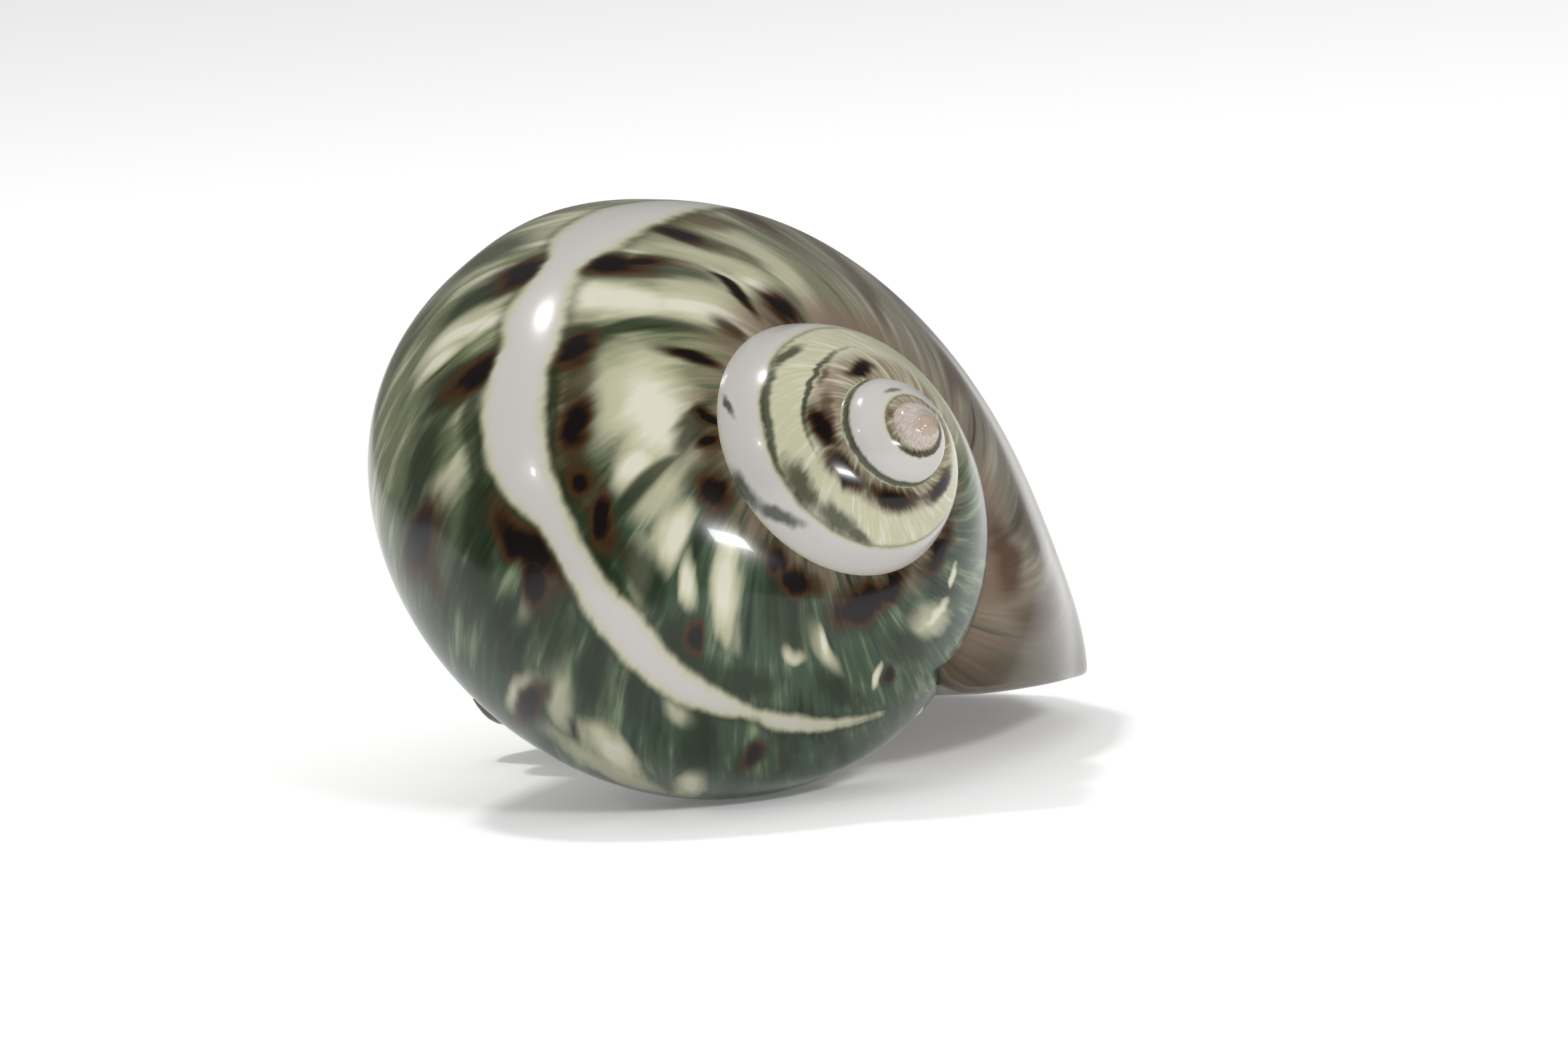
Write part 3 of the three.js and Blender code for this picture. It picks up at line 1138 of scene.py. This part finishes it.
def shell_glaze(colors):
    """The polished shell, green and cream outside and pearly inside."""
    glaze = GlazeTree("shell_glaze")
    streak = glaze.grain("streak")
    wobble = glaze.grain("wobble") - 0.5
    paint_streaks(glaze, colors, streak)
    paint_cream(glaze, colors, wobble)
    glaze.paint(glaze.field("rust") * glaze.step(streak, 0.3, 0.6) * 0.8, colors.rust)
    free = paint_band(glaze, colors, wobble)
    paint_marks(glaze, colors, wobble, free)
    worn = glaze.mix(glaze.step(streak, 0.4, 0.6), colors.worn, colors.white)
    glaze.paint(glaze.field("worn") * 0.8, worn)
    sheen = glaze.step(glaze.grain("sheen"), 0.35, 0.65)
    pearl = glaze.mix(sheen, colors.pearl_cool, colors.pearl_warm)
    glaze.paint(glaze.field("inside"), pearl)
    glaze.tree.links.new(glaze.color, glaze.shader.inputs["Base Color"])
    for name, value in FINISH.items():
        glaze.shader.inputs[name].default_value = value
    return glaze.material


def grown_mesh(context):
    """Grows the shell in the coil's own frame and keeps its mesh alone."""
    sizes = tree_sizes(context.scene.shell_sizes)
    grown = ShellTree("Turban Shell", sizes)
    stretches = [
        grown.whorl(start, end) for start, end in zip(JOINS, (*JOINS[1:], None))
    ]
    outside = grown.combine("UNION", grown.tip(), *grown.pillar(), *stretches)
    shell = grown.combine("DIFFERENCE", outside, grown.hollow())
    grown.finish(shell, shell_glaze(context.scene.shell_colors))
    host = bpy.data.objects.new("growing", bpy.data.meshes.new("growing"))
    context.scene.collection.objects.link(host)
    modifier = host.modifiers.new("Growth", "NODES")
    modifier.node_group = grown.tree
    for size in sizes:
        modifier[grown.inputs[size["name"]]] = size["value"]
    evaluated = host.evaluated_get(context.evaluated_depsgraph_get())
    mesh = bpy.data.meshes.new_from_object(evaluated)
    bpy.data.objects.remove(host)
    return mesh


def put_in_scene(scene, name, data):
    """A new object in the scene."""
    made = bpy.data.objects.new(name, data)
    scene.collection.objects.link(made)
    return made


def lay_floor(scene):
    mesh = bpy.data.meshes.new("floor")
    far = FLOOR_HALF
    corners = [(-far, -far, 0), (far, -far, 0), (far, far, 0), (-far, far, 0)]
    mesh.from_pydata(corners, [], [(0, 1, 2, 3)])
    paper = bpy.data.materials.new("floor_paper")
    paper.use_nodes = True
    shader = paper.node_tree.nodes["Principled BSDF"]
    for name, value in FLOOR_FINISH.items():
        shader.inputs[name].default_value = value
    mesh.materials.append(paper)
    put_in_scene(scene, "floor", mesh)


def set_camera(scene):
    """Aims the camera in the coil's own frame and lays it down with the shell."""
    data = bpy.data.cameras.new("camera")
    data.lens = CAMERA_LENS
    data.sensor_width = CAMERA_SENSOR
    data.clip_end = CAMERA_REACH
    camera = put_in_scene(scene, "camera", data)
    up = (CAMERA_UP - CAMERA_BACK * CAMERA_UP.dot(CAMERA_BACK)).normalized()
    right = up.cross(CAMERA_BACK)
    x, y, z = CAMERA_PLACE
    place = right * x + up * y + CAMERA_BACK * z
    turn = lying_down().to_3x3()
    axes = Matrix((turn @ right, turn @ up, turn @ CAMERA_BACK)).transposed()
    camera.matrix_world = Matrix.Translation(PLACED["matrix"] @ place) @ axes.to_4x4()
    scene.camera = camera


def set_lights(scene):
    for name, way, far, size, power in LIGHTS:
        lamp = bpy.data.lights.new(name, "AREA")
        lamp.shape = "RECTANGLE"
        lamp.size, lamp.size_y = size
        lamp.energy = power
        light = put_in_scene(scene, name, lamp)
        away = Vector(way).normalized()
        light.rotation_euler = away.to_track_quat("Z", "Y").to_euler()
        light.location = away * far + LIGHTS_FROM

    lamp = bpy.data.lights.new("fill", "SUN")
    lamp.energy = FILL_STRENGTH
    lamp.angle = FILL_ANGLE
    put_in_scene(scene, "fill", lamp).visible_glossy = False

    world = bpy.data.worlds.new("studio")
    world.use_nodes = True
    background = world.node_tree.nodes["Background"]
    background.inputs["Color"].default_value = (1, 1, 1, 1)
    background.inputs["Strength"].default_value = WORLD_STRENGTH
    scene.world = world


class SHELL_OT_grow(bpy.types.Operator):
    """Grow the shell along its spiral and lay it on its mouth"""

    bl_idname = "shell.grow"
    bl_label = "Grow Shell"

    def execute(self, context):
        mesh = grown_mesh(context)
        mesh.name = "turban_shell"
        largest_body(mesh)
        mark_shell(mesh)
        PLACED["matrix"] = fitted(mesh)
        mesh.transform(PLACED["matrix"])
        mesh.set_sharp_from_angle(angle=SHARP_FROM)
        shell = put_in_scene(context.scene, "turban_shell", mesh)
        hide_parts("shell")
        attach(shell, "root")
        return {"FINISHED"}


class SHELL_OT_stage(bpy.types.Operator):
    """Set up the floor, the lights and the camera"""

    bl_idname = "shell.stage"
    bl_label = "Set Stage"

    def execute(self, context):
        lay_floor(context.scene)
        set_camera(context.scene)
        set_lights(context.scene)
        context.scene.view_settings.view_transform = "Standard"
        return {"FINISHED"}


class SHELL_PT_panel(bpy.types.Panel):
    """The shell's sizes, its colours and the steps that make it"""

    bl_idname = "SHELL_PT_panel"
    bl_label = "Turban Shell"
    bl_space_type = "VIEW_3D"
    bl_region_type = "UI"
    bl_category = "Shell"

    def draw(self, context):
        scene = context.scene
        for group in (scene.shell_sizes, scene.shell_colors):
            for key in type(group).__annotations__:
                self.layout.prop(group, key)
        for operator in (SHELL_OT_grow, SHELL_OT_stage):
            self.layout.operator(operator.bl_idname)


CLASSES = (ShellSizes, ShellColors, SHELL_OT_grow, SHELL_OT_stage, SHELL_PT_panel)


def register():
    for cls in CLASSES:
        bpy.utils.register_class(cls)
    bpy.types.Scene.shell_sizes = bpy.props.PointerProperty(type=ShellSizes)
    bpy.types.Scene.shell_colors = bpy.props.PointerProperty(type=ShellColors)


def unregister():
    del bpy.types.Scene.shell_colors
    del bpy.types.Scene.shell_sizes
    for cls in reversed(CLASSES):
        bpy.utils.unregister_class(cls)


def main():
    register()
    bpy.ops.shell.grow()
    bpy.ops.shell.stage()


if __name__ == "__main__":
    main()
